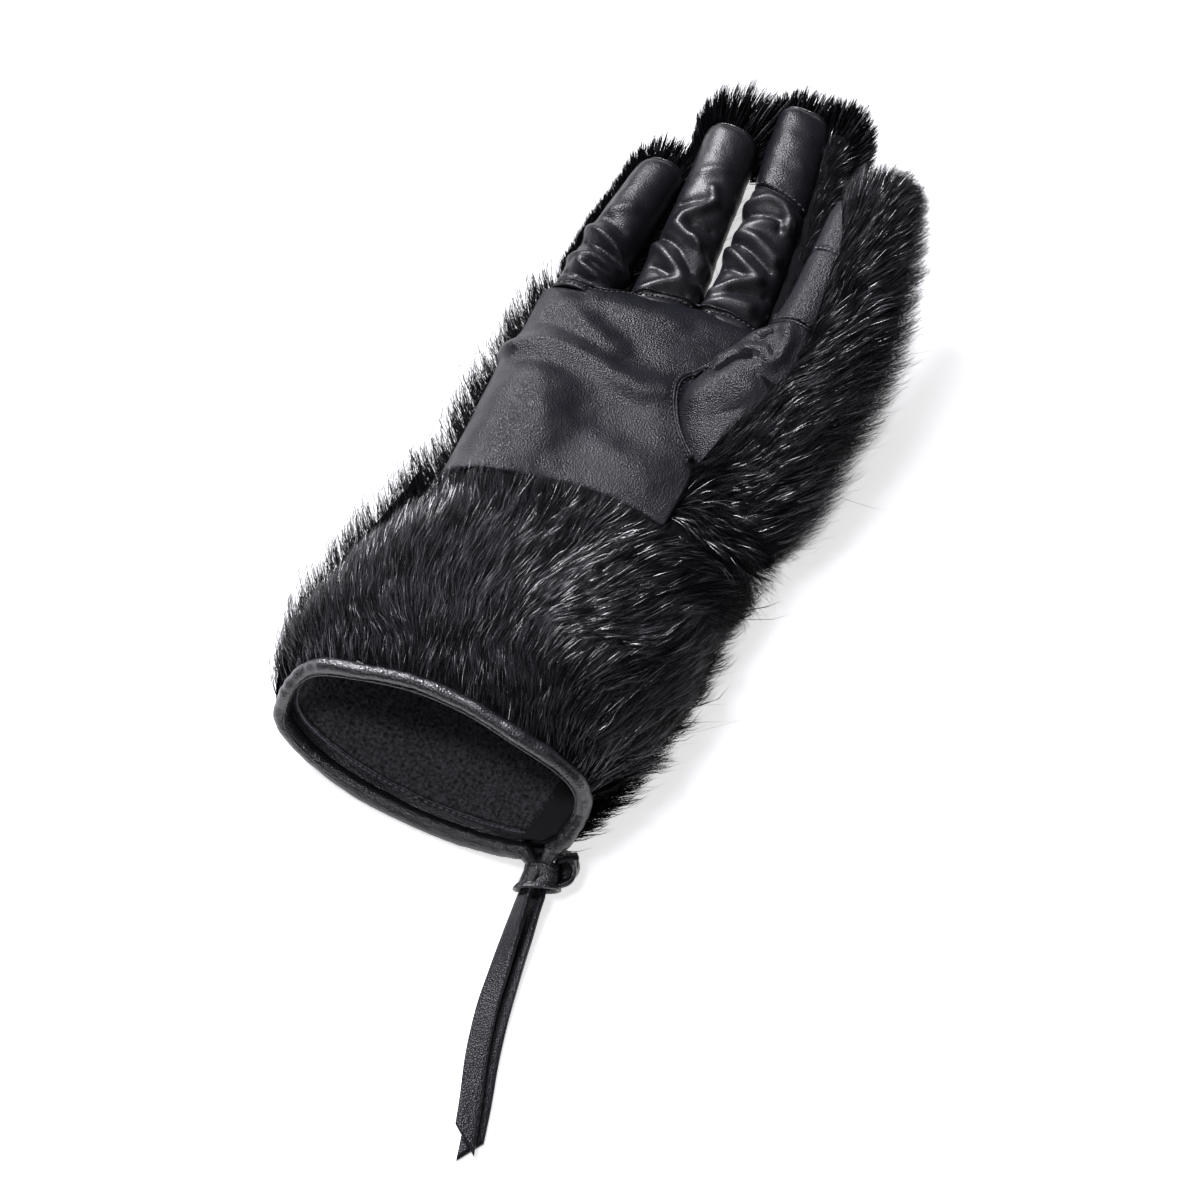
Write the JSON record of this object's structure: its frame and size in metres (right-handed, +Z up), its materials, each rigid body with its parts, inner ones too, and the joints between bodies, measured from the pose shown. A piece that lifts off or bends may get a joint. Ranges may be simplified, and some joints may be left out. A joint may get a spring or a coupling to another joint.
{
  "type": "gauntlet glove",
  "caption": "Right-hand gauntlet glove lying palm up: leather palm and finger fronts, long-haired horsehide back and cuff, zipped slit with a knotted leather thong.",
  "frame": {"origin": "middle of the glove's footprint without the two hanging thong ends, on the surface it lies on", "axes": "+Z up, +Y from the cuff mouth to the fingertips, +X to the thumb side"},
  "size_m": [0.1684, 0.4777, 0.0636],
  "materials": {
    "leather_matte": "matte pebbled black",
    "leather_shiny": "smooth semi-gloss black",
    "horsehide": "long glossy black hair",
    "knit": "fine ribbed black knit",
    "zip_tape": "woven black tape",
    "zip_metal": "dark nickel"
  },
  "bodies": {
    "root": {"cuff_front_fur": "horsehide", "cuff_back_fur": "horsehide", "palm_leather": "leather_matte", "pinky_finger_leather": "leather_shiny", "pinky_finger_fur": "horsehide", "ring_finger_leather": "leather_shiny", "ring_finger_fur": "horsehide", "middle_finger_tip_leather": "leather_matte", "middle_finger_leather": "leather_shiny", "middle_finger_fur": "horsehide", "index_finger_leather": "leather_shiny", "index_finger_fur": "horsehide", "hand_back_fur": "horsehide", "thumb_fur": "horsehide", "thumb_base_leather": "leather_matte", "thumb_middle_leather": "leather_matte", "thumb_tip_leather": "leather_matte", "mouth_facing": "leather_matte", "cuff_lining": "knit", "cuff_binding": "leather_matte", "zipper_tape": "zip_tape", "zipper_coil": "zip_tape", "zip_gusset": "leather_matte", "zipper_slider": "zip_metal", "thong_knot": "leather_matte", "thong_tail_front": "leather_matte", "thong_tail_rear": "leather_matte"}
  },
  "joints": []
}
